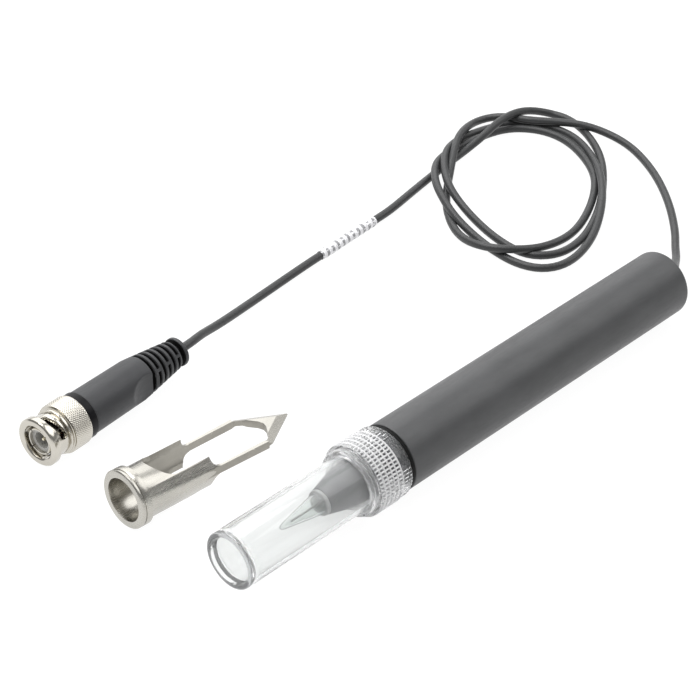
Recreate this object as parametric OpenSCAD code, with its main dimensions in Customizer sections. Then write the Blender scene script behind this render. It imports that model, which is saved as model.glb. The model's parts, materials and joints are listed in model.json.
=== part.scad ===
// pH electrode set: spear-tip electrode in a handle, clear storage vial held by a
// knurled nut, coaxial lead with a bayonet plug, and a loose steel blade.
// Units are millimetres and +Z is up. The origin is under the middle of the set
// without its lead, on the surface it lies on.

/* [Handle] */
// outside diameter of the handle
handle_d = 19.4; // [16:0.1:24]
// length of the handle
handle_l = 115; // [90:1:140]
// wall of the handle tube
handle_wall = 1.8; // [1.2:0.1:3]
// rounding of the handle's rear edge
handle_round = 1; // [0.4:0.1:3]

/* [Electrode] */
// diameter of the electrode shaft
shaft_d = 12; // [10:0.1:14]
// straight length of shaft in front of the handle
shaft_l = 17; // [14:0.5:24]
// diameter of the shaft's front end
shaft_tip_d = 7.4; // [6:0.1:10]
// length of the shaft's taper
shaft_taper_l = 8.2; // [4:0.1:10]
// diameter of the spear where it leaves the shaft
spear_d = 5.8; // [4:0.1:8]
// length of the spear
spear_l = 13.5; // [10:0.1:20]
// diameter of the threaded neck over its crests
neck_d = 17; // [15:0.1:18]
// pitch of the neck's thread
thread_pitch = 1.5; // [1:0.25:2]

/* [Nut and vial] */
// outside diameter of the knurled nut
nut_d = 20.8; // [19.6:0.1:24]
// length of the nut
nut_l = 14.3; // [10:0.1:20]
// number of ridges round the nut
nut_ridges = 36; // [24:2:60]
// outside diameter of the vial
vial_d = 15.9; // [14:0.1:17]
// diameter of the vial's hollow
vial_bore_d = 13.5; // [12.5:0.1:14.5]
// length of the vial
vial_l = 49.3; // [44:0.1:70]

/* [Blade] */
// overall length of the blade
blade_l = 55.8; // [45:0.1:70]
// diameter of the collar at the blade's mouth
blade_collar_d = 16.4; // [15:0.1:18]
// diameter of the blade's tube
blade_tube_d = 14.4; // [13:0.1:16]
// diameter of the bore that takes the electrode shaft
blade_bore_d = 12.3; // [12.1:0.1:12.8]
// width of the slots in the tube
blade_slot_w = 11.4; // [6:0.2:12]
// thickness of the flat part
blade_t = 2.2; // [1.5:0.1:3]

/* [Plug] */
// diameter over the coupling's knurl
knurl_d = 14.5; // [14:0.1:15]
// diameter of the boot at its front
boot_d = 13; // [10:0.1:14]
// length of the boot
boot_l = 39.1; // [30:0.1:50]
// diameter of the plug's contact sleeve
sleeve_d = 8.1; // [8:0.01:8.2]

/* [Cable] */
// diameter of the cable
cable_d = 2.5; // [2:0.1:3.5]
// height of the coil
coil_h = 7.4; // [3:0.1:10]

/* [Hidden] */
$fn = 64;
over = 1;

// places on the surface: the probe's axis is the line y = 0 from the front of the
// handle at x = 0 back along +X, before everything is moved to the shared origin
axis_z = nut_d / 2;
blade_yaw = -3;
blade_roll = -4;
blade_pitch = 1.2;
blade_z = 8.28;
blade_x = -57.3;
blade_y = 38.6;
plug_yaw = 4.5;
plug_x = -56.3;
plug_y = 73.86;
plug_z = knurl_d / 2;
grommet_lip = 1;
set_min_x = blade_x + blade_collar_d / 2 * sin(blade_yaw);
set_max_x = handle_l + grommet_lip;
set_min_y = -nut_d / 2;
set_max_y = blade_y + blade_collar_d / 2 * cos(blade_yaw);
lay_x = (set_min_x + set_max_x) / 2;
lay_y = (set_min_y + set_max_y) / 2;

// handle, back along its axis from its front face
handle_r = handle_d / 2;
handle_bore_r = handle_r - handle_wall;
rear_wall = 3;
front_round = 0.4;
grommet_r = 3;
grommet_lip_r = 4;
neck_seat_l = 14;
crimp_x = 34;
crimp_l = 6;
crimp_r = 4.2;

// electrode
shaft_r = shaft_d / 2;
shaft_tip_r = shaft_tip_d / 2;
shaft_wall = 1.2;
shaft_back = 30;
plug_l = 6;
taper_x = -shaft_l;
ring_x = taper_x - shaft_taper_l;
ring_l = 1;
spear_x = ring_x - ring_l;
spear_r = spear_d / 2;
spear_tip_r = 0.8;
spear_wall = 0.6;
stem_r = 2.2;
stem_wall = 0.6;
stem_back = 32;
wire_r = 0.3;
wire_front = 4;
ref_wire_x = 3.4;
ref_front = -14;

// neck and its seals
neck_r = neck_d / 2;
neck_l = 6.3;
thread_depth = 0.5;
thread_turns = 3;
thread_start = 1.8;
o_ring_r = 0.5;
o_seat_x = 7;

// nut, vial and the ring between the vial and the neck
nut_r = nut_d / 2;
nut_back = -1.3;
nut_front = nut_back - nut_l;
nut_bore_r = neck_r + 0.15;
nut_lip = 1.5;
nut_chamfer = 0.6;
chamfer_cut = 0.2;
nut_step = 2;
nut_collar_r = 9.3;
grip_front = nut_front + nut_step;
ridge_h = 0.45;
groove_n = 4;
groove_h = 0.3;
groove_w = 0.7;
groove_start = grip_front + 1.4;
groove_pitch = 2.6;
vial_r = vial_d / 2;
vial_bore_r = vial_bore_d / 2;
vial_back = -8;
vial_front = vial_back - vial_l;
lip_bore_r = vial_r + 0.05;
flange_r = 8.4;
flange_front = nut_front + nut_lip + 0.3;
flange_l = 1.4;
vial_floor = 1.6;
vial_foot = 1;
vial_foot_r = 6.7;
gasket_front = -7.7;
gasket_back = -6.6;
gasket_r = 7.8;
gasket_bore_r = shaft_r + 0.05;

// blade, along its own axis from the mouth
collar_r = blade_collar_d / 2;
collar_l = 3.5;
collar_groove = 0.25;
collar_line = 0.9;
tube_r = blade_tube_d / 2;
tube_bore_r = blade_bore_d / 2;
relief = 0.25;
relief_r = tube_bore_r + relief;
slot_start = 8;
under_start = 15;
tube_l = 24;
fillet_r = 3;
prong_in = 6.5;
head_base = 44;
head_half = 7.7;
head_tip_half = 0.25;
chevron_x = 43;
chevron_tip = 47.4;
chevron_r = 2.5;
bevel_w = 2.2;
edge_t = 0.3;

// plug, along its axis from the front rim
knurl_r = knurl_d / 2;
sleeve_r = sleeve_d / 2;
sleeve_in_r = 3.45;
sleeve_front = 0.9;
sleeve_back = 7.8;
sleeve_slot_w = 0.4;
rim_r = 7;
rim_l = 2;
barrel_r = 6.1;
barrel_l = 5.8;
waist_r = 5.7;
step_r = 6.6;
knurl_start = 7.7;
knurl_end = 13.7;
mouth_r = 4.95;
chamber_r = 5.7;
chamber_start = 7.5;
chamber_end = 12.5;
stem_out_r = 4.5;
stem_fit = 0.05;
base_r = 5;
base_end = 8.8;
snap_start = 9.8;
snap_end = 10.7;
snap_in_r = 4.25;
snap_r = 5.2;
spring_end = 12.2;
spring_r = 5.3;
slot_pin_r = 1.1;
slot_steps = 9;
slot_turn = 65;
slot_first = 3.3;
slot_last = 4.6;
pin_r = 0.675;
pin_front = 2.2;
pin_back = 16;
cup_r = 0.95;
cup_start = 11;
insul_front = 1.8;
insul_back = 8.8;
insul_mouth_r = 2.4;
insul_step = 6.5;
clamp_start = 13.9;
clamp_end = 16.4;
clamp_r = 6.8;
body_end = 18.4;
barb_r = 2;
barb_end = 26;
ferrule_r = 2.6;

// boot, along the plug's axis
boot_start = clamp_end;
boot_end = boot_start + boot_l;
boot_r = boot_d / 2;
rib_start = 39.3;
rib_pitch = 2.25;
rib_n = 6;
rib_w = 1.2;
rib_first_r = 5.9;
rib_last_r = 4.5;
rib_depth = 1.4;
tail_gap = 1.1;
tail_r = 4.2;
tail_start = 54;
tail_end = 55.1;
tail_neck_r = 2.4;
grip_r = 14;
grip_x = 36.8;
grip_depth = 1.6;

// cable routes on the surface, before the move to the shared origin
cable_r = cable_d / 2;
cable_sides = 8;
floor_z = cable_r + 0.05;
lead_a_route = [[116, 0, 10.4], [119, 0.2, 10.2], [123, 1.8, 9], [128, 5, 6.6],
  [133, 8.5, 4.2], [138.5, 12, 2.4], [144.5, 17, 1.5], [150.5, 21.5, floor_z],
  [162.5, 33, floor_z], [174, 47.5, floor_z], [182, 63, floor_z], [182.5, 74.5, 2.2],
  [179, 82, 3.7], [174.5, 89.5, 3.5]];
label_r = 1.6;
label_z = label_r + 0.05;
lead_b_route = [[141.5, 100, floor_z], [130.5, 98.5, floor_z], [116, 96, floor_z],
  [100, 92.6, label_z], [92, 92, label_z], [66.4, 90, label_z], [58.4, 89.4, label_z],
  [37, 87.5, floor_z], [20, 84.2, 3], [9.5, 80.9, 5.9], [6.2, 79.4, 6.9],
  [3.8, 78.6, 7.2], [1.9, 78.44, 7.25], [-0.97, 78.21, 7.25]];
ring_gap = 6;
coil_x = 141.5;
coil_y = 72.5;
coil_yaw = 40;
coil_out = [51, 30.5];
coil_in = [33, 19];
coil_points = 48;
label_l = 25.5;
label_bore_r = cable_r + 0.05;

// a straight stretch of the lead lies between two route points
label_from = [92, 92];
label_to = [66.4, 90];
label_yaw = atan2(label_to[1] - label_from[1], label_to[0] - label_from[0]);

// a point of a Catmull-Rom curve through four points
function curve(a, b, c, d, t) = 0.5 * (2 * b + (c - a) * t
  + (2 * a - 5 * b + 4 * c - d) * t * t + (3 * b - a - 3 * c + d) * t * t * t);

function at(p, i) = p[max(0, min(len(p) - 1, i))];

function path(p) = [
  for (i = [0:len(p) - 2])
    let (n = max(1, round(norm(p[i + 1] - p[i]) / ring_gap)))
      for (k = [0:n - 1])
        curve(at(p, i - 1), at(p, i), at(p, i + 1), at(p, i + 2), k / n),
  p[len(p) - 1]
];

function unit(v) = v / norm(v);

function heading(q, i) = unit(at(q, i + 1) - at(q, i - 1));

// a ring of points square to the path, with its side vector kept level
function ring_at(q, i) =
  let (
    along = heading(q, i),
    side = unit(cross([0, 0, 1], along)),
    up = cross(along, side)
  )
  [for (k = [0:cable_sides - 1])
    let (a = 360 * (k + 0.5) / cable_sides)
      q[i] + cable_r * (cos(a) * side + sin(a) * up)];

module sweep(route) {
  q = path(route);
  n = len(q);
  m = cable_sides;
  points = [for (i = [0:n - 1]) each ring_at(q, i)];
  sides = [for (i = [0:n - 2]) for (k = [0:m - 1])
    [i * m + k, (i + 1) * m + k, (i + 1) * m + (k + 1) % m, i * m + (k + 1) % m]];
  front = [[for (k = [0:m - 1]) k]];
  back = [[for (k = [0:m - 1]) (n - 1) * m + m - 1 - k]];
  polyhedron(points = points, faces = concat(sides, front, back), convexity = 6);
}

// moves a shape from the layout on the surface to the shared origin
module placed() translate([-lay_x, -lay_y, 0]) children();

// local +Z becomes the probe's axis, from the front of the handle backwards
module on_probe() placed() translate([0, 0, axis_z]) rotate([0, 90, 0]) children();

// local +X becomes the blade's axis, from its mouth to its point
module on_blade() placed() translate([blade_x, blade_y, blade_z])
  rotate([blade_roll, blade_pitch, blade_yaw]) children();

// local +Z becomes the plug's axis, from its front rim backwards
module on_plug() placed() translate([plug_x, plug_y, plug_z])
  rotate([0, 0, plug_yaw]) rotate([0, 90, 0]) children();

// a ring or disc between two places along the axis
module tube(r_out, r_in, from, to) {
  translate([0, 0, from]) difference() {
    cylinder(r = r_out, h = to - from);
    if (r_in > 0) translate([0, 0, -over]) cylinder(r = r_in, h = to - from + 2 * over);
  }
}

module torus(r_mid, r_wire, x) {
  translate([0, 0, x]) rotate_extrude() translate([r_mid, 0]) circle(r = r_wire, $fn = 24);
}

module handle_shell() {
  color("#55565a") on_probe() rotate_extrude() polygon([
    [handle_bore_r, 0],
    [handle_r - front_round, 0],
    [handle_r, front_round],
    [handle_r, handle_l - handle_round],
    [handle_r - handle_round * 0.3, handle_l - handle_round * 0.3],
    [handle_r - handle_round, handle_l],
    [grommet_r, handle_l],
    [grommet_r, handle_l - rear_wall],
    [handle_bore_r, handle_l - rear_wall]]);
}

module rear_grommet() {
  color("#2b2b2e") on_probe() rotate_extrude() polygon([
    [cable_r, handle_l - rear_wall - 1.2],
    [grommet_lip_r, handle_l - rear_wall - 1.2],
    [grommet_lip_r, handle_l - rear_wall],
    [grommet_r, handle_l - rear_wall],
    [grommet_r, handle_l],
    [grommet_lip_r, handle_l],
    [grommet_lip_r - 0.4, handle_l + grommet_lip],
    [cable_r, handle_l + grommet_lip]]);
}

module cable_crimp() {
  color("#b39a5c") on_probe() tube(crimp_r, cable_r, crimp_x, crimp_x + crimp_l);
}

module inner_lead() {
  color("#333336") on_probe() tube(cable_r, 0, crimp_x, handle_l + grommet_lip);
}

module potting_plug() {
  color("#3a3c3a") on_probe() difference() {
    tube(shaft_r - shaft_wall, stem_r, shaft_back - plug_l, shaft_back);
    translate([ref_wire_x, 0, 0]) cylinder(r = wire_r, h = shaft_back + over, $fn = 24);
  }
}

module threaded_neck() {
  crest = neck_r;
  root = neck_r - thread_depth;
  half = thread_pitch / 2;
  color("#3c3d40") on_probe() rotate_extrude() polygon(concat(
    [[shaft_r, -neck_l], [root, -neck_l]],
    [for (i = [thread_turns - 1:-1:0])
      each [
        [root, -thread_start - i * thread_pitch - half],
        [crest, -thread_start - i * thread_pitch - half * 0.6],
        [crest, -thread_start - i * thread_pitch - half * 0.4],
        [root, -thread_start - i * thread_pitch]]],
    [[root, -o_ring_r * 2 - 0.3], [neck_r, -o_ring_r * 2 - 0.1], [neck_r, 0],
      [handle_bore_r, 0], [handle_bore_r, neck_seat_l], [shaft_r, neck_seat_l],
      [shaft_r, o_seat_x + o_ring_r], [shaft_r + o_ring_r * 2, o_seat_x + o_ring_r],
      [shaft_r + o_ring_r * 2, o_seat_x - o_ring_r], [shaft_r, o_seat_x - o_ring_r]]));
}

module neck_o_ring() {
  color("#161616") on_probe() torus(neck_r + o_ring_r, o_ring_r, -o_ring_r);
}

module shaft_o_ring() {
  color("#161616") on_probe() torus(shaft_r + o_ring_r, o_ring_r, o_seat_x);
}

module electrode_shaft() {
  color("#7d7d80") on_probe() rotate_extrude() polygon([
    [stem_r, ring_x],
    [shaft_tip_r, ring_x],
    [shaft_r, taper_x],
    [shaft_r, shaft_back],
    [shaft_r - shaft_wall, shaft_back],
    [shaft_r - shaft_wall, taper_x],
    [stem_r, taper_x - 2]]);
}

module junction_ring() {
  color("#d8d6cc") on_probe() tube(shaft_tip_r - 0.1, stem_r, spear_x, ring_x);
}

module glass_spear() {
  tip = spear_x - spear_l;
  color("#dfe8ea", 0.5) on_probe() rotate_extrude() polygon([
    [0, tip],
    [spear_tip_r * 0.7, tip + spear_tip_r * 0.3],
    [spear_tip_r, tip + spear_tip_r],
    [spear_r, spear_x - 1.2],
    [spear_r, spear_x],
    [spear_r - spear_wall, spear_x],
    [spear_r - spear_wall, spear_x - 1.2],
    [0.4, tip + spear_tip_r + 1.2],
    [0, tip + spear_tip_r + 1]]);
}

module inner_stem() {
  color("#dfe8ea", 0.5) on_probe() tube(stem_r, stem_r - stem_wall, spear_x, stem_back);
}

module measuring_wire() {
  color("#9b9b9b") on_probe() translate([0, 0, spear_x - spear_l + wire_front])
    cylinder(r = wire_r, h = crimp_x - spear_x + spear_l - wire_front, $fn = 24);
}

module reference_wire() {
  color("#9b9b9b") on_probe() translate([ref_wire_x, 0, ref_front])
    cylinder(r = wire_r, h = crimp_x - ref_front, $fn = 24);
}

module knurled_nut() {
  step = 360 / nut_ridges;
  color("#e8eef0", 0.6) on_probe() difference() {
    union() {
      translate([0, 0, nut_front]) cylinder(r = nut_collar_r, h = nut_l / 2);
      translate([0, 0, grip_front]) linear_extrude(height = nut_back - grip_front) polygon([
        for (i = [0:nut_ridges - 1]) each [
          nut_r * [cos((i - 0.22) * step), sin((i - 0.22) * step)],
          nut_r * [cos((i + 0.22) * step), sin((i + 0.22) * step)],
          (nut_r - ridge_h) * [cos((i + 0.5) * step), sin((i + 0.5) * step)]]]);
    }
    for (i = [0:groove_n - 1])
      tube(nut_r + over, nut_r - groove_h, groove_start + i * groove_pitch,
        groove_start + i * groove_pitch + groove_w);
    translate([0, 0, nut_front + nut_lip]) cylinder(r = nut_bore_r, h = nut_l);
    translate([0, 0, nut_front - over]) cylinder(r = lip_bore_r, h = nut_l);
    rotate_extrude() polygon([
      [nut_r - nut_chamfer - chamfer_cut, grip_front - chamfer_cut],
      [nut_r + over, grip_front - chamfer_cut],
      [nut_r + over, grip_front + nut_chamfer + over]]);
  }
}

module storage_vial() {
  color("#eef2f3", 0.35) on_probe() rotate_extrude() polygon([
    [0, vial_front + vial_foot],
    [vial_foot_r - 0.5, vial_front + vial_foot],
    [vial_foot_r, vial_front],
    [vial_r - 0.6, vial_front],
    [vial_r, vial_front + 0.6],
    [vial_r, flange_front],
    [flange_r, flange_front],
    [flange_r, flange_front + flange_l],
    [vial_r, flange_front + flange_l],
    [vial_r, vial_back],
    [vial_bore_r, vial_back],
    [vial_bore_r, vial_front + vial_foot + vial_floor + 0.8],
    [vial_bore_r - 0.8, vial_front + vial_foot + vial_floor],
    [0, vial_front + vial_foot + vial_floor]]);
}

module vial_gasket() {
  color("#c8c8c4") on_probe() tube(gasket_r, gasket_bore_r, gasket_front, gasket_back);
}

// a wedge that bevels one edge of the arrow head from one face
module bevel_cut() {
  run = blade_l - head_base;
  drop = head_half - head_tip_half;
  angle = atan2((blade_t - edge_t) / 2, bevel_w);
  translate([head_base, head_half, edge_t / 2]) rotate([0, 0, -atan2(drop, run)])
    rotate([-angle, 0, 0]) translate([-over, -6 * over, 0])
      cube([run * 1.5, 12 * over, 3 * over]);
}

module blade_plate() {
  difference() {
    translate([0, 0, -blade_t / 2]) linear_extrude(height = blade_t) difference() {
      polygon([
        [tube_l - fillet_r, -tube_r + 0.1], [head_base, -head_half],
        [blade_l, -head_tip_half], [blade_l, head_tip_half],
        [head_base, head_half], [tube_l - fillet_r, tube_r - 0.1]]);
      translate([tube_l - fillet_r - over, -prong_in])
        square([chevron_x - tube_l + fillet_r + over, 2 * prong_in]);
      polygon([
        [chevron_x - over, prong_in], [chevron_x, prong_in],
        [chevron_x + 1.6, prong_in - 1.1], [chevron_tip - 0.4, 1.6],
        [chevron_tip, 0],
        [chevron_tip - 0.4, -1.6], [chevron_x + 1.6, -prong_in + 1.1],
        [chevron_x, -prong_in], [chevron_x - over, -prong_in]]);
    }
    bevel_cut();
    mirror([0, 1, 0]) bevel_cut();
    mirror([0, 0, 1]) bevel_cut();
    mirror([0, 0, 1]) mirror([0, 1, 0]) bevel_cut();
  }
}

// a round-ended slot through the upper half of the tube
module slot_cut(from) {
  translate([from + blade_slot_w / 2, 0, 0]) cylinder(d = blade_slot_w, h = collar_r);
  translate([from + blade_slot_w / 2, -blade_slot_w / 2, 0])
    cube([tube_l, blade_slot_w, collar_r]);
}

// ends the tube's wall square to the axis, with a hollow curve down to the prong
module end_cut() {
  translate([0, tube_r + over, 0]) rotate([90, 0, 0])
    linear_extrude(height = 2 * tube_r + 2 * over) difference() {
      translate([tube_l, blade_t / 2]) square([2 * fillet_r, tube_r]);
      difference() {
        translate([tube_l - over, blade_t / 2 - over]) square([fillet_r + over, fillet_r + over]);
        translate([tube_l + fillet_r, blade_t / 2 + fillet_r]) circle(r = fillet_r, $fn = 48);
      }
    }
}

module blade_tube() {
  difference() {
    rotate([0, 90, 0]) rotate_extrude() polygon([
      [tube_bore_r, 0],
      [collar_r - 0.3, 0],
      [collar_r, 0.3],
      [collar_r, collar_line],
      [collar_r - collar_groove, collar_line],
      [collar_r - collar_groove, collar_line + 0.3],
      [collar_r, collar_line + 0.3],
      [collar_r, collar_l - 0.3],
      [tube_r, collar_l],
      [tube_r, tube_l + fillet_r],
      [relief_r, tube_l + fillet_r],
      [relief_r, slot_start],
      [tube_bore_r, slot_start]]);
    slot_cut(slot_start);
    mirror([0, 0, 1]) slot_cut(under_start);
    end_cut();
    mirror([0, 0, 1]) end_cut();
  }
}

module penetration_blade() {
  color("#c9c8c4") on_blade() union() {
    blade_tube();
    blade_plate();
  }
}

module cable_lead_a() {
  color("#3a3b3e") placed() sweep(lead_a_route);
}

module cable_lead_b() {
  color("#3a3b3e") placed() sweep(lead_b_route);
}

module oval(size) {
  polygon([for (i = [0:coil_points - 1])
    let (a = 360 * i / coil_points) [size[0] * cos(a), size[1] * sin(a)]]);
}

module cable_coil() {
  color("#3a3b3e") placed() translate([coil_x, coil_y, 0]) rotate([0, 0, coil_yaw])
    linear_extrude(height = coil_h) difference() {
      oval(coil_out);
      oval(coil_in);
    }
}

module label_sleeve() {
  color("#e4e4e2") placed() translate([label_from[0], label_from[1], label_z])
    rotate([0, 0, label_yaw]) rotate([0, 90, 0]) tube(label_r, label_bore_r, 0, label_l);
}

module boot_lead() {
  color("#333336") on_plug() tube(cable_r, 0, barb_end, boot_end);
}

// the boot's outline: a slim barrel, ribs that shrink towards the tail, and a collar
module boot_shape() {
  rotate_extrude() polygon(concat(
    [[cable_r, boot_start], [boot_r, boot_start], [boot_r - 0.2, rib_start - 3],
      [rib_first_r, rib_start]],
    [for (i = [0:rib_n - 1])
      let (
        x = rib_start + i * rib_pitch,
        r = rib_first_r + (rib_last_r - rib_first_r) * i / (rib_n - 1)
      )
      each [[r, x], [r - rib_depth, x], [r - rib_depth, x + rib_pitch - rib_w],
        [r, x + rib_pitch - rib_w]]],
    [[rib_last_r, tail_start - tail_gap], [tail_neck_r + 1, tail_start - tail_gap],
      [tail_neck_r + 1, tail_start], [tail_r, tail_start], [tail_r, tail_end],
      [tail_neck_r, boot_end], [cable_r, boot_end]]));
}

module boot() {
  color("#4c4d51") on_plug() difference() {
    boot_shape();
    translate([0, 0, boot_start - over]) cylinder(r = stem_out_r, h = body_end - boot_start + over);
    translate([0, 0, boot_start]) cylinder(r = ferrule_r, h = barb_end - boot_start);
    for (s = [-1, 1])
      translate([0, s * (grip_r + boot_r - grip_depth), grip_x])
        rotate([0, 90, 0]) cylinder(r = grip_r, h = 4 * boot_r, center = true);
  }
}

module crimp_ferrule() {
  color("#b9b4a6") on_plug() tube(ferrule_r, barb_r, body_end, barb_end);
}

module clamp_ring() {
  color("#1a1a1c") on_plug() tube(clamp_r, stem_out_r, clamp_start, clamp_end);
}

// one curved slot in the coupling, as holes set close together along a helix
module bayonet_slot() {
  for (i = [0:slot_steps])
    rotate([0, 0, slot_turn * i / slot_steps])
      translate([mouth_r - over, 0, slot_first + (slot_last - slot_first) * i / slot_steps])
        rotate([0, 90, 0]) cylinder(r = slot_pin_r, h = 4 * over, $fn = 24);
}

module bnc_coupling() {
  color("#c4bfb2") on_plug() difference() {
    rotate_extrude() polygon([
      [mouth_r + 0.3, 0],
      [rim_r - 0.4, 0],
      [rim_r, 0.4],
      [rim_r, rim_l],
      [barrel_r, rim_l + 0.3],
      [barrel_r, barrel_l],
      [waist_r, barrel_l + 0.1],
      [waist_r, barrel_l + 0.5],
      [step_r, barrel_l + 0.6],
      [step_r, barrel_l + 1.2],
      [waist_r + 0.4, barrel_l + 1.3],
      [waist_r + 0.4, knurl_start - 0.3],
      [knurl_r - 0.4, knurl_start],
      [knurl_r, knurl_start + 0.4],
      [knurl_r, knurl_end - 0.4],
      [knurl_r - 0.4, knurl_end],
      [stem_out_r + stem_fit, knurl_end],
      [stem_out_r + stem_fit, chamber_end],
      [chamber_r - 0.4, chamber_end],
      [chamber_r - 0.4, chamber_start],
      [mouth_r, chamber_start],
      [mouth_r, 0.3]]);
    bayonet_slot();
    rotate([0, 0, 180]) bayonet_slot();
  }
}

module bnc_body() {
  color("#c4bfb2") on_plug() difference() {
    rotate_extrude() polygon([
      [sleeve_in_r, sleeve_front],
      [sleeve_r - 0.2, sleeve_front],
      [sleeve_r, sleeve_front + 0.3],
      [sleeve_r, sleeve_back],
      [base_r, sleeve_back],
      [base_r, base_end],
      [stem_out_r, base_end],
      [stem_out_r, snap_start],
      [snap_in_r, snap_start],
      [snap_in_r, snap_end],
      [stem_out_r, snap_end],
      [stem_out_r, body_end],
      [barb_r, body_end],
      [barb_r, barb_end],
      [cable_r, barb_end],
      [cable_r, insul_back],
      [sleeve_in_r, insul_back]]);
    for (a = [45, 135])
      rotate([0, 0, a]) translate([-sleeve_r - over, -sleeve_slot_w / 2, 0])
        cube([2 * sleeve_r + 2 * over, sleeve_slot_w, sleeve_back - 1.5]);
  }
}

module bnc_insulator() {
  color("#e6e4dd") on_plug() rotate_extrude() polygon([
    [insul_mouth_r, insul_front], [sleeve_in_r, insul_front], [sleeve_in_r, insul_back],
    [pin_r, insul_back], [pin_r, insul_step], [insul_mouth_r, insul_step]]);
}

module bnc_pin() {
  color("#cbb26a") on_plug() rotate_extrude() polygon([
    [0, pin_front], [pin_r * 0.5, pin_front], [pin_r, pin_front + 0.7],
    [pin_r, cup_start], [cup_r, cup_start], [cup_r, pin_back], [0, pin_back]]);
}

module bnc_gasket() {
  color("#9c4a3c") on_plug() tube(sleeve_r + 0.55, sleeve_r, sleeve_back - 1, sleeve_back);
}

module bnc_spring_washer() {
  color("#a9a9a6") on_plug() tube(spring_r - 0.3, stem_out_r, snap_end, spring_end);
}

module bnc_retaining_ring() {
  color("#a9a9a6") on_plug() tube(snap_r - 0.3, snap_in_r, snap_start, snap_end);
}

handle_shell();
rear_grommet();
cable_crimp();
inner_lead();
potting_plug();
threaded_neck();
neck_o_ring();
shaft_o_ring();
electrode_shaft();
junction_ring();
glass_spear();
inner_stem();
measuring_wire();
reference_wire();
knurled_nut();
storage_vial();
vial_gasket();
penetration_blade();
cable_lead_a();
cable_coil();
cable_lead_b();
label_sleeve();
boot_lead();
boot();
crimp_ferrule();
clamp_ring();
bnc_coupling();
bnc_body();
bnc_insulator();
bnc_pin();
bnc_gasket();
bnc_spring_washer();
bnc_retaining_ring();
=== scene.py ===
"""Looks of the pH electrode set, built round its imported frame."""
import json
import math

import bmesh
import bpy
from mathutils import Matrix, Vector


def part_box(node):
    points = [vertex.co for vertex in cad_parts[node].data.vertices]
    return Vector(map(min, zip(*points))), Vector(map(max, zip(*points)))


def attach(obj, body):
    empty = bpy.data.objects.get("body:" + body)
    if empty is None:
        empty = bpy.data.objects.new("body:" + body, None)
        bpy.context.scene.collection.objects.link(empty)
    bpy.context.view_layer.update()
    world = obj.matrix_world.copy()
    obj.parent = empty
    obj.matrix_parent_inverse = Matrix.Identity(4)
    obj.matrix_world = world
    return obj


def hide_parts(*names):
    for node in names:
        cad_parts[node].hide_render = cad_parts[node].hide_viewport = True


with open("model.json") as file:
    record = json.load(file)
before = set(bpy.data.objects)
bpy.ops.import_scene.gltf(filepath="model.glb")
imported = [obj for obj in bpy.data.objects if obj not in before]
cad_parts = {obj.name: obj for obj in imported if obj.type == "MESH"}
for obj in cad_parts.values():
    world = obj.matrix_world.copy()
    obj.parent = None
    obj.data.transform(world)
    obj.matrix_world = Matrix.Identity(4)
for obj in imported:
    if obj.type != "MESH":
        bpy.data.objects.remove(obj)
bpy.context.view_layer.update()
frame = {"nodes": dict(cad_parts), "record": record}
record = frame["record"]

# outlines and marks are in millimetres, and scaled by MM where they become metres
MM = 0.001
FULL = 2 * math.pi


# ---------------------------------------------------------------- places

def mount(name):
    return next(m for m in record["mounts"] if m["name"] == name)


def axis_place(origin, along):
    """A matrix whose +X runs along a part's axis, with +Z as near up as it can be."""
    x = Vector(along).normalized()
    y = Vector((0, 0, 1)).cross(x).normalized()
    z = x.cross(y)
    turn = Matrix((x, y, z)).transposed().to_4x4()
    return Matrix.Translation(Vector(origin)) @ turn


def middle(node):
    low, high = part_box(node)
    return (Vector(low) + Vector(high)) / 2


HANDLE_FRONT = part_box("handle_shell")[0][0]
handle_mid = middle("handle_shell")
# each part's own frame: x runs back along the probe, and from the plug's mouth to its boot
PROBE = axis_place((HANDLE_FRONT, handle_mid.y, handle_mid.z), (1, 0, 0))
PLUG = axis_place(mount("bnc_plug")["pos_m"], -Vector(mount("bnc_plug")["axis"]))
# the layout's origin: on the surface, under the front end of the handle
LAYOUT = Vector((HANDLE_FRONT, handle_mid.y, 0))


def on_surface(point):
    return LAYOUT + Vector(point) * MM


# ---------------------------------------------------------------- camera and light

# the camera's place in the layout, in millimetres
EYE = (-357.3, -328.8, 384.6)
HEADING = math.radians(43.8)
TILT = math.radians(35.01)
LENS = 121.87


def make_camera():
    data = bpy.data.cameras.new("camera")
    data.lens = LENS
    data.sensor_width = 36
    data.clip_start = 0.05
    data.clip_end = 20
    camera = bpy.data.objects.new("camera", data)
    bpy.context.collection.objects.link(camera)
    camera.location = on_surface(EYE)
    look = Vector((math.cos(HEADING) * math.cos(TILT),
                   math.sin(HEADING) * math.cos(TILT), -math.sin(TILT)))
    camera.rotation_mode = "QUATERNION"
    camera.rotation_quaternion = look.to_track_quat("-Z", "Y")
    bpy.context.scene.camera = camera


def area_light(name, place, target, size, power):
    data = bpy.data.lights.new(name, "AREA")
    data.shape = "RECTANGLE"
    data.size, data.size_y = size
    data.energy = power
    light = bpy.data.objects.new(name, data)
    bpy.context.collection.objects.link(light)
    light.location = place
    light.rotation_mode = "QUATERNION"
    light.rotation_quaternion = (Vector(target) - Vector(place)).to_track_quat("-Z", "Y")


HORIZON_GLOW = 1.0
OVERHEAD_GLOW = 0.3


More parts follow.
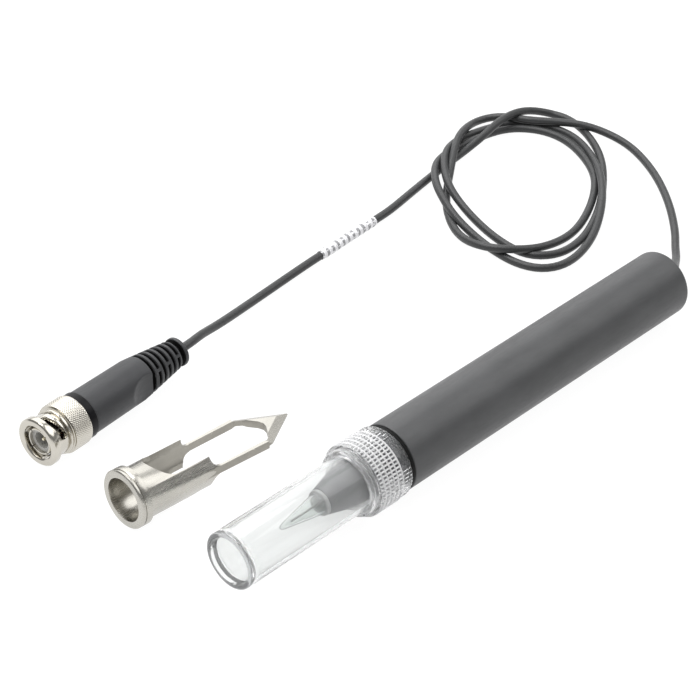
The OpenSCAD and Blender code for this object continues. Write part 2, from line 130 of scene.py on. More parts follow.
def make_light():
    world = bpy.data.worlds.new("studio")
    world.use_nodes = True
    tree = world.node_tree
    back = tree.nodes["Background"]
    back.inputs["Color"].default_value = (1.0, 1.0, 1.0, 1)
    # as bright as the floor at the horizon, and dimmer overhead
    where = tree.nodes.new("ShaderNodeTexCoord")
    split = tree.nodes.new("ShaderNodeSeparateXYZ")
    tree.links.new(where.outputs["Generated"], split.inputs["Vector"])
    glow = ramp(tree, split.outputs["Z"], HORIZON_GLOW, OVERHEAD_GLOW, 0.1, 0.2)
    tree.links.new(glow, back.inputs["Strength"])
    bpy.context.scene.world = world
    bpy.context.scene.view_settings.view_transform = "Standard"
    area_light("key", (-0.2, 0.35, 1.1), (0.0, 0.0, 0.0), (1.2, 1.0), 17)
    area_light("side", (0.7, 1.15, 0.95), (0.0, 0.0, 0.05), (1.5, 1.3), 10.2)
    area_light("front", (0.77, -0.4, 0.98), (0.0, 0.0, 0.0), (1.0, 0.9), 5.5)
    area_light("edge", (0.95, 0.3, 0.68), (-0.05, 0.02, 0.0), (0.6, 0.6), 0.65)


# ---------------------------------------------------------------- shader helpers

def shader(name):
    made = bpy.data.materials.new(name)
    made.use_nodes = True
    tree = made.node_tree
    return made, tree, tree.nodes["Principled BSDF"]


def add_node(tree, kind, **values):
    """A new node with its sockets set. A socket's name has _ for a space."""
    made = tree.nodes.new(kind)
    for key, value in values.items():
        made.inputs[key.replace("_", " ")].default_value = value
    return made


def coordinates(tree, scale):
    """Object coordinates in millimetres, stretched by scale."""
    where = tree.nodes.new("ShaderNodeTexCoord")
    mapping = tree.nodes.new("ShaderNodeMapping")
    mapping.inputs["Scale"].default_value = [s / MM for s in scale]
    tree.links.new(where.outputs["Object"], mapping.inputs["Vector"])
    return mapping.outputs["Vector"]


def noise(tree, scale, detail=3.0, rough=0.55):
    """Noise in object space, scale marks to a millimetre along each axis."""
    made = add_node(tree, "ShaderNodeTexNoise", Scale=1.0, Detail=detail, Roughness=rough)
    tree.links.new(coordinates(tree, scale), made.inputs["Vector"])
    return made.outputs["Fac"]


def ramp(tree, source, low, high, start=0.35, stop=0.65):
    """Maps source from start..stop to low..high."""
    made = add_node(tree, "ShaderNodeMapRange", From_Min=start, From_Max=stop, To_Min=low,
                    To_Max=high)
    tree.links.new(source, made.inputs["Value"])
    return made.outputs["Result"]


# the Mix node's colour sockets, which share their names with its other kinds
MIX_FACTOR = 0
MIX_FIRST = 6
MIX_SECOND = 7
MIX_RESULT = 2


def blend_colour(tree, factor, first, second):
    made = tree.nodes.new("ShaderNodeMix")
    made.data_type = "RGBA"
    made.inputs[MIX_FIRST].default_value = (*first, 1)
    made.inputs[MIX_SECOND].default_value = (*second, 1)
    tree.links.new(factor, made.inputs[MIX_FACTOR])
    return made.outputs[MIX_RESULT]


def bump(tree, surface, heights):
    """Chains bumps: heights is a list of (height, distance in mm, strength)."""
    normal = None
    for height, distance, strength in heights:
        made = add_node(tree, "ShaderNodeBump", Strength=strength, Distance=distance * MM)
        tree.links.new(height, made.inputs["Height"])
        if normal is not None:
            tree.links.new(normal, made.inputs["Normal"])
        normal = made.outputs["Normal"]
    tree.links.new(normal, surface.inputs["Normal"])


def shade(tint, factor):
    return tuple(min(1.0, c * factor) for c in tint)


# ---------------------------------------------------------------- materials

def moulded(name, tint, rough, grain=3.5, depth=0.02, shine=0.4):
    """Matte moulded plastic or rubber: fine grain, faint clouding, small rubbed marks."""
    made, tree, surface = shader(name)
    cloud = noise(tree, (0.06, 0.09, 0.09), detail=4)
    marks = noise(tree, (0.25, 1.6, 1.6), detail=6, rough=0.7)
    fine = noise(tree, (grain, grain, grain), detail=2)
    tree.links.new(blend_colour(tree, ramp(tree, cloud, 0, 1), shade(tint, 0.9), shade(tint, 1.1)),
                   surface.inputs["Base Color"])
    tree.links.new(ramp(tree, marks, rough - 0.06, rough + 0.08), surface.inputs["Roughness"])
    surface.inputs["Specular IOR Level"].default_value = shine
    bump(tree, surface, [(fine, depth, 0.55), (marks, depth * 1.25, 0.12)])
    return made


# how fine marks stretch over a metal part
ALONG = (0.08, 5.0, 5.0)
ROUND = (6.0, 0.3, 0.3)


def metal(name, tint, rough, brush):
    """Metal with fine marks: brush stretches them along or round the part."""
    made, tree, surface = shader(name)
    lines = noise(tree, brush, detail=5, rough=0.65)
    cloud = noise(tree, (0.12, 0.15, 0.15), detail=3)
    tree.links.new(blend_colour(tree, ramp(tree, cloud, 0, 1), shade(tint, 0.94), shade(tint, 1.05)),
                   surface.inputs["Base Color"])
    surface.inputs["Metallic"].default_value = 1.0
    tree.links.new(ramp(tree, lines, rough - 0.04, rough + 0.05), surface.inputs["Roughness"])
    bump(tree, surface, [(lines, 0.0025, 0.3)])
    return made


def clear(name, tint, rough, ior, wave=0.012, haze=0.0):
    """Clear glass or plastic with faint flow marks. haze adds a little white body."""
    made, tree, surface = shader(name)
    flow = noise(tree, (0.12, 0.5, 0.5), detail=2)
    specks = noise(tree, (1.4, 1.4, 1.4), detail=4, rough=0.6)
    tree.links.new(blend_colour(tree, ramp(tree, flow, 0, 1), tint, shade(tint, 0.985)),
                   surface.inputs["Base Color"])
    tree.links.new(ramp(tree, specks, max(0.0, rough - 0.02), rough + 0.03),
                   surface.inputs["Roughness"])
    surface.inputs["IOR"].default_value = ior
    surface.inputs["Transmission Weight"].default_value = 1.0 - haze
    bump(tree, surface, [(flow, wave, 0.25)])
    return made


def printed_sleeve(name):
    """White sleeve with plain grey bars round it in place of its printing."""
    made, tree, surface = shader(name)
    bands = add_node(tree, "ShaderNodeTexWave", Scale=0.13, Distortion=0.5, Detail=1.0)
    bands.wave_type = "BANDS"
    bands.bands_direction = "X"
    tree.links.new(coordinates(tree, (1, 1, 1)), bands.inputs["Vector"])
    gaps = noise(tree, (0.35, 1.1, 1.1), detail=1)
    dark = ramp(tree, bands.outputs["Fac"], 0, 1, 0.55, 0.62)
    broken = tree.nodes.new("ShaderNodeMath")
    broken.operation = "MULTIPLY"
    tree.links.new(dark, broken.inputs[0])
    tree.links.new(ramp(tree, gaps, 0, 0.9, 0.4, 0.46), broken.inputs[1])
    tree.links.new(blend_colour(tree, broken.outputs[0], (0.78, 0.78, 0.8), (0.22, 0.22, 0.23)),
                   surface.inputs["Base Color"])
    surface.inputs["Roughness"].default_value = 0.38
    bump(tree, surface, [(noise(tree, (0.9, 0.9, 0.9), detail=3), 0.05, 0.4)])
    return made


def floor_material():
    made, tree, surface = shader("pale_floor")
    cloud = noise(tree, (0.004, 0.004, 0.004), detail=2)
    tree.links.new(blend_colour(tree, cloud, (0.11, 0.11, 0.11), (0.12, 0.12, 0.12)),
                   surface.inputs["Base Color"])
    surface.inputs["Roughness"].default_value = 0.9
    surface.inputs["Specular IOR Level"].default_value = 0.1
    surface.inputs["Emission Color"].default_value = (1, 1, 1, 1)
    surface.inputs["Emission Strength"].default_value = 0.95
    return made


def make_looks():
    """One material for each of the record's slots, and some for parts of a piece."""
    return {
        "handle": moulded("handle_plastic", (0.061, 0.062, 0.064), 0.4),
        "dark_rubber": moulded("black_rubber", (0.005, 0.005, 0.005), 0.5, grain=5, depth=0.01,
                               shine=0.12),
        "neck": moulded("neck_plastic", (0.045, 0.046, 0.05), 0.42, grain=5, depth=0.01),
        "shaft": moulded("shaft_plastic", (0.12, 0.12, 0.128), 0.36, grain=6, depth=0.008),
        "potting": moulded("resin", (0.04, 0.042, 0.04), 0.3, grain=2),
        "junction": moulded("porous_ring", (0.42, 0.42, 0.42), 0.4, grain=9, depth=0.02),
        "glass": clear("tip_glass", (0.93, 0.96, 0.945), 0.06, 1.14, wave=0.006, haze=0.12),
        "clear_plastic": clear("vial_plastic", (0.955, 0.965, 0.962), 0.03, 1.32, haze=0.1),
        # grey, cloudier copy of the clear plastic: painted shade on the rim round the vial's foot
        "vial_foot": clear("vial_foot_plastic", (0.5, 0.51, 0.52), 0.12, 1.42, haze=0.35),
        "clear_nut": clear("nut_plastic", (0.93, 0.935, 0.94), 0.03, 1.3, haze=0.03),
        # milky white copy of the clear plastic: painted highlight on the nut's ridge tops
        "nut_rib_glint": clear("nut_rib_painted_glint", (0.92, 0.92, 0.93), 0.2, 1.3, haze=0.6),
        "nut_collar": clear("nut_collar_plastic", (0.93, 0.935, 0.94), 0.06, 1.35, haze=0.14),
        "boot_gap": moulded("boot_gap_shade", (0.006, 0.006, 0.006), 0.6, shine=0.1),
        "silicone": moulded("silicone", (0.5, 0.5, 0.48), 0.35, grain=4, depth=0.01),
        "wire": metal("coated_wire", (0.35, 0.34, 0.33), 0.4, ALONG),
        "brass": metal("brass", (0.72, 0.56, 0.3), 0.3, ROUND),
        "steel": metal("satin_steel", (0.49, 0.475, 0.435), 0.27, ALONG),
        # darker steel for the blade: its plate's cut sides, and painted shade on the tube's inside
        "cut_steel_and_shade": metal("cut_steel_and_shade", (0.34, 0.325, 0.29), 0.4, ROUND),
        "cable": moulded("cable_sheath", (0.036, 0.037, 0.038), 0.4, grain=4, depth=0.012),
        "label": printed_sleeve("label_sleeve_white"),
        "boot": moulded("boot_plastic", (0.04, 0.041, 0.044), 0.46),
        "clamp_black": moulded("clamp_plastic", (0.006, 0.006, 0.007), 0.34, grain=5, depth=0.01,
                               shine=0.15),
        "nickel": metal("nickel", (0.56, 0.535, 0.48), 0.16, ROUND),
        "insulator": moulded("fluoropolymer", (0.46, 0.455, 0.43), 0.4, grain=5, depth=0.008),
        "gold": metal("gold_plate", (0.78, 0.72, 0.56), 0.2, ALONG),
        "seal_red": moulded("red_silicone", (0.1, 0.03, 0.025), 0.4, grain=5, depth=0.01),
    }


# ---------------------------------------------------------------- mesh helpers

# an edge sharper than this stays crisp
CREASE = math.radians(32)
# faces that meet flatter than this become one
FLAT = math.radians(0.6)
WELD = 0.002
# the most of a side that the rounding at one of its ends may take
NEAR_HALF = 0.48


def rounded(points, radius, steps):
    """Rounds every corner of an outline. A point may carry its own radius third."""
    made = []
    count = len(points)
    for i, corner in enumerate(points):
        r = corner[2] if len(corner) > 2 else radius
        here = Vector(corner[:2])
        before = Vector(points[i - 1][:2]) - here
        after = Vector(points[(i + 1) % count][:2]) - here
        if r <= 0 or here.y == 0 or before.length == 0 or after.length == 0:
            made.append((here.x, here.y))
            continue
        a = here + before.normalized() * min(r, before.length * NEAR_HALF)
        b = here + after.normalized() * min(r, after.length * NEAR_HALF)
        for k in range(steps + 1):
            t = k / steps
            p = a * (1 - t) ** 2 + here * 2 * t * (1 - t) + b * t ** 2
            made.append((p.x, p.y))
    return made


def link(name, mesh_source, place, look, body):
    """Turns a bmesh made round a part's own axis into a shaded object in the frame."""
    mesh = bpy.data.meshes.new(name)
    bmesh.ops.recalc_face_normals(mesh_source, faces=mesh_source.faces[:])
    mesh_source.to_mesh(mesh)
    mesh_source.free()
    mesh.transform(place)
    made = bpy.data.objects.new(name, mesh)
    bpy.context.collection.objects.link(made)
    mesh.materials.append(look)
    sharpen(mesh)
    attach(made, body)
    return made


def sharpen(mesh):
    """Smooth faces, with sharp edges left crisp."""
    work = bmesh.new()
    work.from_mesh(mesh)
    for face in work.faces:
        face.smooth = True
    for edge in work.edges:
        if len(edge.link_faces) == 2:
            edge.smooth = edge.calc_face_angle(0) < CREASE
    work.to_mesh(mesh)
    work.free()


def spin(rings, steps, loop=True):
    """A bmesh turned about +X. A ring is (x, radius), where radius is a number or a function
    of the angle. A closed outline loops; one that starts and ends on the axis doesn't."""
    work = bmesh.new()
    angles = [FULL * k / steps for k in range(steps)]
    made = []
    for x, radius in rings:
        if not callable(radius) and radius < 1e-6:
            made.append([work.verts.new((x * MM, 0, 0))])
            continue
        ring = []
        for a in angles:
            r = (radius(a) if callable(radius) else radius) * MM
            ring.append(work.verts.new((x * MM, r * math.cos(a), r * math.sin(a))))
        made.append(ring)
    pairs = list(zip(made, made[1:]))
    if loop:
        pairs.append((made[-1], made[0]))
    for first, second in pairs:
        for k in range(steps):
            n = (k + 1) % steps
            corners = [first[k % len(first)], first[n % len(first)],
                       second[n % len(second)], second[k % len(second)]]
            unique = list(dict.fromkeys(corners))
            if len(unique) > 2:
                work.faces.new(unique)
    return work


def copy_of(node, name):
    """A new piece that starts from a CAD node's shape."""
    made = bpy.data.objects.new(name, frame["nodes"][node].data.copy())
    bpy.context.collection.objects.link(made)
    made.data.materials.clear()
    return made


def soften(made, width):
    """Welds a copied shape and puts a small bevel on its hard edges."""
    work = bmesh.new()
    work.from_mesh(made.data)
    bmesh.ops.remove_doubles(work, verts=work.verts[:], dist=WELD * MM)
    bmesh.ops.dissolve_limit(work, angle_limit=FLAT, verts=work.verts[:], edges=work.edges[:])
    work.to_mesh(made.data)
    work.free()
    bevel = made.modifiers.new("edges", "BEVEL")
    bevel.width = width * MM
    bevel.segments = 2
    bevel.limit_method = "ANGLE"
    bevel.angle_limit = CREASE
    bevel.harden_normals = False


def dress(made, look, slot, body, *nodes):
    """Gives a piece its look and body, and hides the CAD nodes that it replaces. slot is not used.
    """
    made.data.materials.append(look)
    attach(made, body)
    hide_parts(*nodes)


def extra_look(made, look):
    """Adds a look for some of a piece's faces, and gives its index."""
    made.data.materials.append(look)
    return len(made.data.materials) - 1


def in_part(place, point):
    """How far a frame point is along a part's axis, and out from it, in millimetres."""
    local = place.inverted() @ point
    return local.x / MM, math.hypot(local.y, local.z) / MM


# ---------------------------------------------------------------- cord

# the height of the cord's middle where it lies on the surface
LYING = 1.3
LABEL_BACK = (92, 92, 1.65)
LABEL_FRONT = (66.4, 90, 1.65)
# the cord's route in the layout, from the back of the handle to the boot
ROUTE = [
    # out of the handle, down to the surface and round to the coil
    (116, 0, 10.4), (119, 0.2, 10.2), (123, 1.8, 9), (128, 5, 6.6), (133, 8.5, 4.2),
    (138.5, 12, 2.4), (144.5, 17, 1.5), (150.5, 21.5, LYING), (162.5, 33, LYING),
    (174, 47.5, LYING), (182, 63, LYING), (182.5, 74.5, 2.2),
    # first turn
    (179, 82, 3.7), (174.5, 89.5, 3.5), (168.5, 96.5, 3.9), (166.5, 105.5, 2.7),
    (160, 110, 1.6), (145.5, 104.5, 5), (134.5, 97.5, 4.6), (128.5, 93.5, 2),
    (119, 86.5, LYING), (110, 77.5, LYING), (103.5, 67, 1.8), (101.5, 56.5, 3.7),
    (106.5, 48.5, 3.8), (116.5, 44.5, 2), (129.5, 44, LYING), (145, 50, LYING),
    (159, 59.5, LYING), (167, 71, LYING), (171, 82, LYING),
    # second turn
    (170, 92, LYING), (163.5, 100, LYING), (154.5, 102.5, LYING), (146, 103, LYING),
    (138.5, 103.5, LYING), (128.5, 99.5, 3), (119.5, 91.5, 3.8), (113, 82, 3.8),
    (109, 73, 2.7), (107, 64, LYING), (105, 54.5, LYING), (104.5, 44.5, LYING),
    (108, 37, LYING), (117.5, 34.5, LYING), (131, 38, 1.5), (144, 45, 3.5),
    (157.5, 56, 3.5), (168.5, 68.5, 1.5), (174, 79.5, LYING), (174.5, 89.5, LYING),
    # third turn
    (170, 99, LYING), (162.5, 103.5, LYING), (155.5, 105.5, LYING), (148, 106, 1.8),
    (136.5, 102, 4), (127.5, 95, 3.9), (120, 86, 3.9), (116.5, 77, 1.9),
    (112.5, 65.5, LYING), (110, 54.5, LYING), (110.5, 45, LYING), (117.5, 39.5, LYING),
    (129.5, 40, LYING), (144.5, 46.5, LYING), (158, 55.5, LYING), (169.5, 65.5, LYING),
    (177.5, 76.5, LYING), (182, 87.5, LYING), (181, 97, LYING), (171, 100, 4.9),
    (159.5, 99.5, 6.3), (150.5, 99, 4.2), (141.5, 100, 1.4),
    # out of the coil, through the label and up into the boot
    (130.5, 98.5, LYING), (116, 96, LYING), (100, 92.6, 1.65), LABEL_BACK,
    LABEL_FRONT, (58.4, 89.4, 1.6), (37, 87.5, LYING), (20, 84.2, 3),
    (9.5, 80.9, 5.9), (6.2, 79.4, 6.9), (3.8, 78.6, 7.2), (1.9, 78.44, 7.25),
    (-0.97, 78.21, 7.25),
]
CABLE_R = 1.25
SPAN_POINTS = 12
STEP = 1.6
SMOOTHING = 5


def between(a, b, c, d, t):
    """A point on the Catmull-Rom curve from b to c."""
    return 0.5 * (2 * b + (c - a) * t + (2 * a - 5 * b + 4 * c - d) * t ** 2
                  + (3 * b - a - 3 * c + d) * t ** 3)


def cord_line():
    """The route as an even, gently smoothed line of points in millimetres."""
    p = [Vector(q) for q in ROUTE]
    last = len(p) - 1
    line = []
    for i in range(last):
        corners = p[max(0, i - 1)], p[i], p[i + 1], p[min(last, i + 2)]
        line += [between(*corners, k / SPAN_POINTS) for k in range(SPAN_POINTS)]
    line.append(p[last])
    even = [line[0]]
    gone = 0.0
    for a, b in zip(line, line[1:]):
        gone += (b - a).length
        if gone >= STEP:
            even.append(b)
            gone = 0.0
    even.append(line[-1])
    for _ in range(SMOOTHING):
        even = ([even[0]] + [(a + 2 * b + c) / 4 for a, b, c in zip(even, even[1:], even[2:])]
                + [even[-1]])
    for point in even:
        point.z = max(point.z, CABLE_R)
    return even


def make_cord(looks):
    line = cord_line()
    data = bpy.data.curves.new("cable", "CURVE")
    data.dimensions = "3D"
    data.bevel_depth = CABLE_R * MM
    data.bevel_resolution = 6
    data.use_fill_caps = True
    spline = data.splines.new("POLY")
    spline.points.add(len(line) - 1)
    for point, place in zip(spline.points, line):
        point.co = (*on_surface(place), 1)
    spline.use_smooth = True
    made = bpy.data.objects.new("cable", data)
    bpy.context.collection.objects.link(made)
    dress(made, looks["cable"], "cable", "handle", "cable_lead_a", "cable_coil", "cable_lead_b")
    length = sum((b - a).length for a, b in zip(line, line[1:])) * MM
    return made, length, line


LABEL_L = 25.5
LABEL_BORE = 1.28
LABEL_RINGS = 60


def sleeve_radius(x, a):
    """The sleeve shrank a little unevenly."""
    return 1.5 + 0.06 * math.sin(2.3 * x + 2 * a) + 0.04 * math.sin(5.1 * x - a)


def make_label(looks):
    """A shrink sleeve round the straight stretch of the lead."""
    place = axis_place(on_surface(LABEL_BACK), Vector(LABEL_FRONT) - Vector(LABEL_BACK))
    rings = [(0, LABEL_BORE), (0, 1.36), (0.15, 1.44)]
    for i in range(LABEL_RINGS + 1):
        x = 0.4 + (LABEL_L - 0.8) * i / LABEL_RINGS
        rings.append((x, lambda a, x=x: sleeve_radius(x, a)))
    rings += [(LABEL_L - 0.15, 1.44), (LABEL_L, 1.36), (LABEL_L, LABEL_BORE)]
    made = link("label", spin(rings, steps=48), place, looks["label"], "handle")
    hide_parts("label_sleeve")
    return made


# ---------------------------------------------------------------- probe

HANDLE_L = 115
HANDLE_R = 9.7
HANDLE_BORE = 7.9
REAR_WALL = 3
REAR_HOLE = 3.0
LONG_SIDE = 20
LONG_PARTS = 12


def divided(outline):
    """An outline with its long sides divided, so that their faces aren't slivers."""
    made = []
    for (x, r), (x2, r2) in zip(outline, outline[1:] + outline[:1]):
        parts = LONG_PARTS if abs(x2 - x) > LONG_SIDE else 1
        made += [(x + (x2 - x) * k / parts, r + (r2 - r) * k / parts) for k in range(parts)]
    return made


def make_handle(looks):
    wall = HANDLE_L - REAR_WALL
    outline = rounded([(0, HANDLE_BORE, 0.15), (0, HANDLE_R, 0.35), (HANDLE_L, HANDLE_R, 1.3),
                       (HANDLE_L, REAR_HOLE, 0.3), (wall, REAR_HOLE, 0.1),
                       (wall, HANDLE_BORE, 0.3)], 0.2, steps=8)
    made = link("handle", spin(divided(outline), steps=192), PROBE, looks["handle"],
                "handle")
    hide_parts("handle_shell")


def make_neck_seal(looks):
    """The black ring that closes the gap between the nut and the handle."""
    outline = rounded([(-1.2, 8.3), (-1.2, 9.55), (-0.05, 9.55), (-0.05, 8.3)], 0.5, steps=6)
    made = link("neck_seal", spin(outline, steps=144), PROBE, looks["dark_rubber"],
                "handle")
    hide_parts("neck_o_ring")


def make_shaft(looks):
    """A round shaft that tapers to the tip, hollow for the electrode's inside."""
    outline = rounded([(-25.2, 2.2, 0.05), (-25.2, 3.7, 0.3), (-17.5, 5.8, 1.5), (-14, 6.0, 0.8),
                       (30, 6.0, 0.3), (30, 4.8, 0.1), (-17, 4.8, 0.3), (-19, 2.2, 0.3)],
                      0.2, steps=8)
    made = link("shaft", spin(outline, steps=144), PROBE, looks["shaft"], "handle")
    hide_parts("electrode_shaft")


def make_junction(looks):
    """The porous ring in front of the shaft."""
    outline = rounded([(-26.2, 2.2), (-26.2, 3.6), (-25.2, 3.6), (-25.2, 2.2)], 0.25, steps=5)
    made = link("junction", spin(outline, steps=96), PROBE, looks["junction"],
                "handle")
    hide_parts("junction_ring")


def make_spear(looks):
    """The hollow glass tip."""
    outline = [(-39.7, 0), (-39.63, 0.25), (-39.4, 0.5), (-38.9, 0.75), (-34, 1.65), (-29, 2.5),
               (-27.0, 2.82), (-26.6, 2.88), (-26.2, 2.88), (-26.2, 2.3), (-27, 2.28), (-29, 1.95),
               (-34, 1.1), (-37.4, 0.5), (-37.9, 0.25), (-38.0, 0)]
    made = link("spear", spin(outline, steps=96, loop=False), PROBE, looks["glass"],
                "handle")
    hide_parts("glass_spear")


# ---------------------------------------------------------------- nut and vial

NUT_R = 10.4
NUT_BORE = 8.65
NUT_MOUTH = 8.0
RIDGES = 60
RIDGE_H = 0.42
GRIP = (-13.6, -1.7)
GRIP_RINGS = 96
RING_PITCH = 1.62
RING_LAST = -5.4
# the lengthwise ribs stand lower behind the last ring
REAR_RIB = 0.4


def plateau(wave, width):
    """Turns a 0 to 1 wave into a steep ridge with a flat top: the wider, the more it covers."""
    return min(1.0, max(0.0, (wave - 1 + width) * 5))


def nut_ridge(x, a):
    """How far the grip stands out there, 0 to 1: lengthwise ribs, and rings round the front."""
    rib = plateau(0.5 + 0.5 * math.cos(RIDGES * a), 0.48)
    ring = 0.0
    if x < RING_LAST + 0.3:
        ring = plateau(0.5 + 0.5 * math.cos(FULL * (x - RING_LAST) / RING_PITCH), 0.36)
    else:
        rib *= REAR_RIB
    edge = min(1.0, (x - GRIP[0]) / 0.5, (GRIP[1] - x) / 0.4)
    return max(0.0, min(max(rib, ring), edge))


def make_nut(looks):
    rings = [(-15.6, NUT_MOUTH), (-15.6, 8.8), (-15.5, 9.1), (-15.25, 9.27), (-14.9, 9.3),
             (-14.0, 9.3), (-13.75, 9.38), (-13.62, 9.7), (GRIP[0], NUT_R - RIDGE_H)]
    for i in range(1, GRIP_RINGS + 1):
        x = GRIP[0] + (GRIP[1] - GRIP[0]) * i / GRIP_RINGS
        rings.append((x, lambda a, x=x: NUT_R - RIDGE_H * (1 - nut_ridge(x, a))))
    rings += [(-1.45, 9.8), (-1.3, 9.5), (-1.3, NUT_BORE), (-14.1, NUT_BORE),
              (-14.1, NUT_MOUTH)]
    made = link("nut", spin(rings, steps=RIDGES * 8), PROBE, looks["clear_nut"],
                "nut")
    # the ridge tops in front of the last ring get the milky white plastic in place of the light that
    # clear ridges catch: painted highlight
    ribs = extra_look(made, looks["nut_rib_glint"])
    collar = extra_look(made, looks["nut_collar"])
    for face in made.data.polygons:
        x, r = in_part(PROBE, face.center)
        if x < GRIP[0]:
            face.material_index = collar
        elif x < RING_LAST + 0.4 and r > NUT_R - 0.62 * RIDGE_H:
            face.material_index = ribs
    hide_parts("knurled_nut")


VIAL_FOOT = -56.75


def make_vial(looks):
    """A clear vial with a recessed foot, and the flange that the nut holds it by."""
    outline = [(-56.3, 0), (-56.3, 6.0), (-56.4, 6.3), (-56.7, 6.45), (-57.1, 6.55),
               (-57.25, 6.7), (-57.3, 6.9), (-57.3, 7.45), (-57.22, 7.7), (-57.05, 7.86),
               (-56.8, 7.95), (-13.85, 7.95), (-13.8, 8.3), (-13.7, 8.4), (-12.5, 8.4),
               (-12.4, 8.3), (-12.35, 7.95), (-8.2, 7.95), (-8.0, 7.75), (-8.0, 6.95),
               (-8.2, 6.75), (-53.7, 6.75), (-54.2, 6.6), (-54.6, 6.2), (-54.7, 5.6),
               (-54.7, 0)]
    made = link("vial", spin(outline, steps=160, loop=False), PROBE, looks["clear_plastic"],
                "vial")
    # the rim round the foot gets the grey, cloudier plastic: painted shade
    foot = extra_look(made, looks["vial_foot"])
    for face in made.data.polygons:
        x, r = in_part(PROBE, face.center)
        if x < VIAL_FOOT and r > 6.8:
            face.material_index = foot
    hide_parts("storage_vial")


# ---------------------------------------------------------------- blade

# along the blade from its mouth: the end of the close bore, and of the tube
BORE_END = 7.8
TUBE_END = 25.5


def make_blade(looks):
    """The CAD shape with eased edges. The cut sides of its plate are duller, and its inside gets the
    same darker steel as painted shade.
    """
    made = copy_of("penetration_blade", "blade")
    soften(made, 0.14)
    dress(made, looks["steel"], "steel", "blade", "penetration_blade")
    cut = extra_look(made, looks["cut_steel_and_shade"])
    socket = mount("blade_socket")
    mouth, along = Vector(socket["pos_m"]), Vector(socket["axis"]).normalized()
    # the plate's cut sides take the darker steel; the tube's inward faces past the bore take it as
    # painted shade
    for face in made.data.polygons:
        way = face.center - mouth
        depth = abs(way.dot(along)) / MM
        outward = way - along * way.dot(along)
        if depth > TUBE_END:
            dull = abs(face.normal.z) < 0.3
        else:
            dull = depth > BORE_END and face.normal.dot(outward) < -0.5 * outward.length
        if dull:
            face.material_index = cut


# ---------------------------------------------------------------- plug and boot

KNURL = (7.7, 13.7)
KNURL_R = 7.25
KNURL_N = 60
KNURL_H = 0.12
KNURL_PITCH = 0.75
KNURL_RINGS = 60
# the CAD coupling is cut back to this radius under the knurled grip
UNDER_KNURL_R = 6.7


def knurl_radius(x, a):
    """Crossed fine ridges, as rolled into the coupling's grip."""
    turn = FULL * (x - KNURL[0]) / KNURL_PITCH
    first = 0.5 + 0.5 * math.cos(KNURL_N * a + turn)
    second = 0.5 + 0.5 * math.cos(KNURL_N * a - turn)
    edge = min(1.0, (x - KNURL[0]) / 0.45, (KNURL[1] - x) / 0.45)
    return KNURL_R - KNURL_H + KNURL_H * max(0.0, edge) * (first * second) ** 0.6


def make_coupling(looks):
    """The CAD coupling with eased edges, slimmer where the grip goes round it."""
    made = copy_of("bnc_coupling", "coupling")
    back = PLUG.inverted()
    for vertex in made.data.vertices:
        local = back @ vertex.co
        radius = math.hypot(local.y, local.z)
        if radius > UNDER_KNURL_R * MM and local.x > (KNURL[0] - 0.2) * MM:
            shrink = UNDER_KNURL_R * MM / radius
            vertex.co = PLUG @ Vector((local.x, local.y * shrink, local.z * shrink))
    soften(made, 0.1)
    dress(made, looks["nickel"], "nickel", "plug_coupling", "bnc_coupling")
    return made


def make_grip(looks):
    """The coupling's knurled band."""
    rings = [(KNURL[0], 6.5), (KNURL[0], 6.85)]
    for i in range(KNURL_RINGS + 1):
        x = KNURL[0] + 0.05 + (KNURL[1] - KNURL[0] - 0.1) * i / KNURL_RINGS
        rings.append((x, lambda a, x=x: knurl_radius(x, a)))
    rings += [(KNURL[1], 6.85), (KNURL[1], 6.5)]
    return link("coupling_grip", spin(rings, steps=KNURL_N * 8), PLUG, looks["nickel"],
                "plug_coupling")


BOOT_R = 6.5
BOOT_START = 16.4
BOOT_RINGS = 48
SHOULDER_L = 3
SHOULDER_DROP = 0.2
RIB_START = 39.3
RIB_PITCH = 2.16
RIB_COUNT = 6
RIB_GAP = 1.05
RIB_DEPTH = 2.2
RIB_FIRST_R = 5.95
RIB_LAST_R = 4.25
# how far round, as a cosine, a gap's bridges begin, and the angle that they are turned by
BRIDGE = 0.995
BRIDGE_TURN = 0.5
TAIL_FRONT = 53.48
SCOOP_AT = 36.8
SCOOP_R = 14
SCOOP_DEPTH = 1.7


def scoop_limit(x, a):
    """How far out the boot may reach before the thumb scoop on each side cuts it."""
    inside = SCOOP_R ** 2 - (x - SCOOP_AT) ** 2
    side = abs(math.cos(a))
    if inside <= 0 or side < 0.05:
        return 99.0
    return (SCOOP_R + BOOT_R - SCOOP_DEPTH - math.sqrt(inside)) / side


def slope(x, start, stop, first, last):
    """The value at x on a straight slope from first at start to last at stop."""
    return first + (last - first) * (x - start) / (stop - start)


def boot_radius(x, a):
    shoulder = RIB_START - SHOULDER_L
    shoulder_r = BOOT_R - SHOULDER_DROP
    if x < shoulder:
        plain = slope(x, BOOT_START, shoulder, BOOT_R, shoulder_r)
    elif x < RIB_START:
        plain = slope(x, shoulder, RIB_START, shoulder_r, RIB_FIRST_R)
    else:
        rib_end = RIB_START + RIB_PITCH * RIB_COUNT
        plain = slope(x, RIB_START, rib_end, RIB_FIRST_R, RIB_LAST_R)
    return min(plain, scoop_limit(x, a))


def rib_cut(index, a, share):
    """How deep a gap between ribs is there. Each gap has two bridges across it, a quarter turn
    round from the next gap's."""
    wave = math.cos if index % 2 else math.sin
    return 0.0 if abs(wave(a + BRIDGE_TURN)) > BRIDGE else RIB_DEPTH * share


def gap_rings(index):
    """One gap's rings: a small lead-in, the full depth, and the same again reversed."""
    start = RIB_START + index * RIB_PITCH
    lead_in = [(-0.15, 0), (-0.04, 0.06), (0.02, 0.2), (0.1, 1)]
    lead_out = [(RIB_GAP - at, share) for at, share in reversed(lead_in)]
    return [(start + at, lambda a, x=start + at, share=share:
             boot_radius(x, a) - rib_cut(index, a, share)) for at, share in lead_in + lead_out]


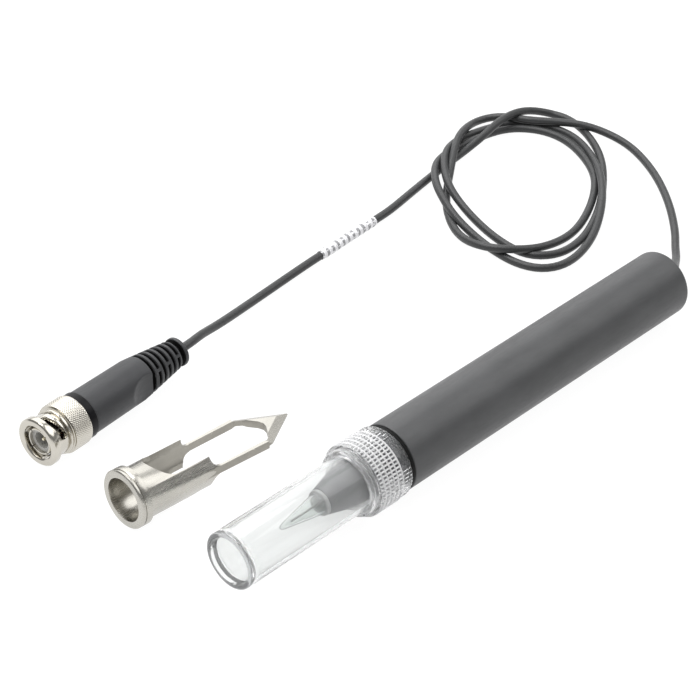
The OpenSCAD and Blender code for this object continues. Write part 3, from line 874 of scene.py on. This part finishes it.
def make_boot(looks):
    """The moulded boot: its barrel, the ribs, the end disc, and the hollow inside."""
    barrel = BOOT_START + 0.2
    rings = [(BOOT_START, 4.5), (BOOT_START, 6.3), (BOOT_START + 0.06, 6.44), (barrel, BOOT_R)]
    for i in range(1, BOOT_RINGS):
        x = barrel + (RIB_START - 0.2 - barrel) * i / BOOT_RINGS
        rings.append((x, lambda a, x=x: boot_radius(x, a)))
    for i in range(RIB_COUNT):
        rings += gap_rings(i)
    rings += [(51.7, 4.22), (51.86, 4.17), (51.92, 3.95), (51.96, 2.6), (53.42, 2.6),
              (TAIL_FRONT, 4.05), (53.55, 4.24), (53.7, 4.32), (54.4, 4.32), (54.57, 4.24),
              (54.65, 4.0), (54.7, 2.6), (55.2, 2.4), (55.5, 2.1), (55.5, CABLE_R), (26, CABLE_R),
              (26, 2.6), (18.4, 2.6), (18.4, 4.5)]
    made = link("boot_cover", spin(rings, steps=192), PLUG, looks["boot"], "handle")
    # faces deep in the gaps between the ribs get a near-black look: painted shade in the gaps
    gap = extra_look(made, looks["boot_gap"])
    for face in made.data.polygons:
        x, r = in_part(PLUG, face.center)
        if RIB_START - 0.1 < x < TAIL_FRONT and r < boot_radius(x, math.pi / 2) - 0.7:
            face.material_index = gap
    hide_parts("boot")
    return made


def make_clamp(looks):
    """The black ring between the plug and the boot."""
    outline = rounded([(13.9, 4.5), (13.9, 6.8), (16.4, 6.8), (16.4, 4.5)], 0.25, steps=5)
    made = link("clamp", spin(outline, steps=144), PLUG, looks["clamp_black"],
                "handle")
    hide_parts("clamp_ring")
    return made


# ---------------------------------------------------------------- CAD nodes that stay

def dress_nodes(looks):
    """Gives each CAD node the look of its own material slot."""
    slots = {s["node"]: s["material_slot"] for s in record["subparts"]}
    for name, made in frame["nodes"].items():
        look = looks[slots[name]]
        for slot in made.material_slots:
            slot.material = look
        if not made.material_slots:
            made.data.materials.append(look)


FLOOR_HALF = 3.0


def make_floor():
    work = bmesh.new()
    bmesh.ops.create_grid(work, x_segments=8, y_segments=8, size=FLOOR_HALF)
    mesh = bpy.data.meshes.new("floor")
    work.to_mesh(mesh)
    work.free()
    made = bpy.data.objects.new("floor", mesh)
    bpy.context.collection.objects.link(made)
    mesh.materials.append(floor_material())


def main():
    make_camera()
    looks = make_looks()
    cable, length, line = make_cord(looks)
    label = make_label(looks)
    make_light()
    make_floor()
    make_handle(looks)
    make_neck_seal(looks)
    make_shaft(looks)
    make_junction(looks)
    make_spear(looks)
    make_nut(looks)
    make_vial(looks)
    make_blade(looks)
    coupling = make_coupling(looks)
    grip = make_grip(looks)
    boot = make_boot(looks)
    clamp = make_clamp(looks)
    dress_nodes(looks)


main()
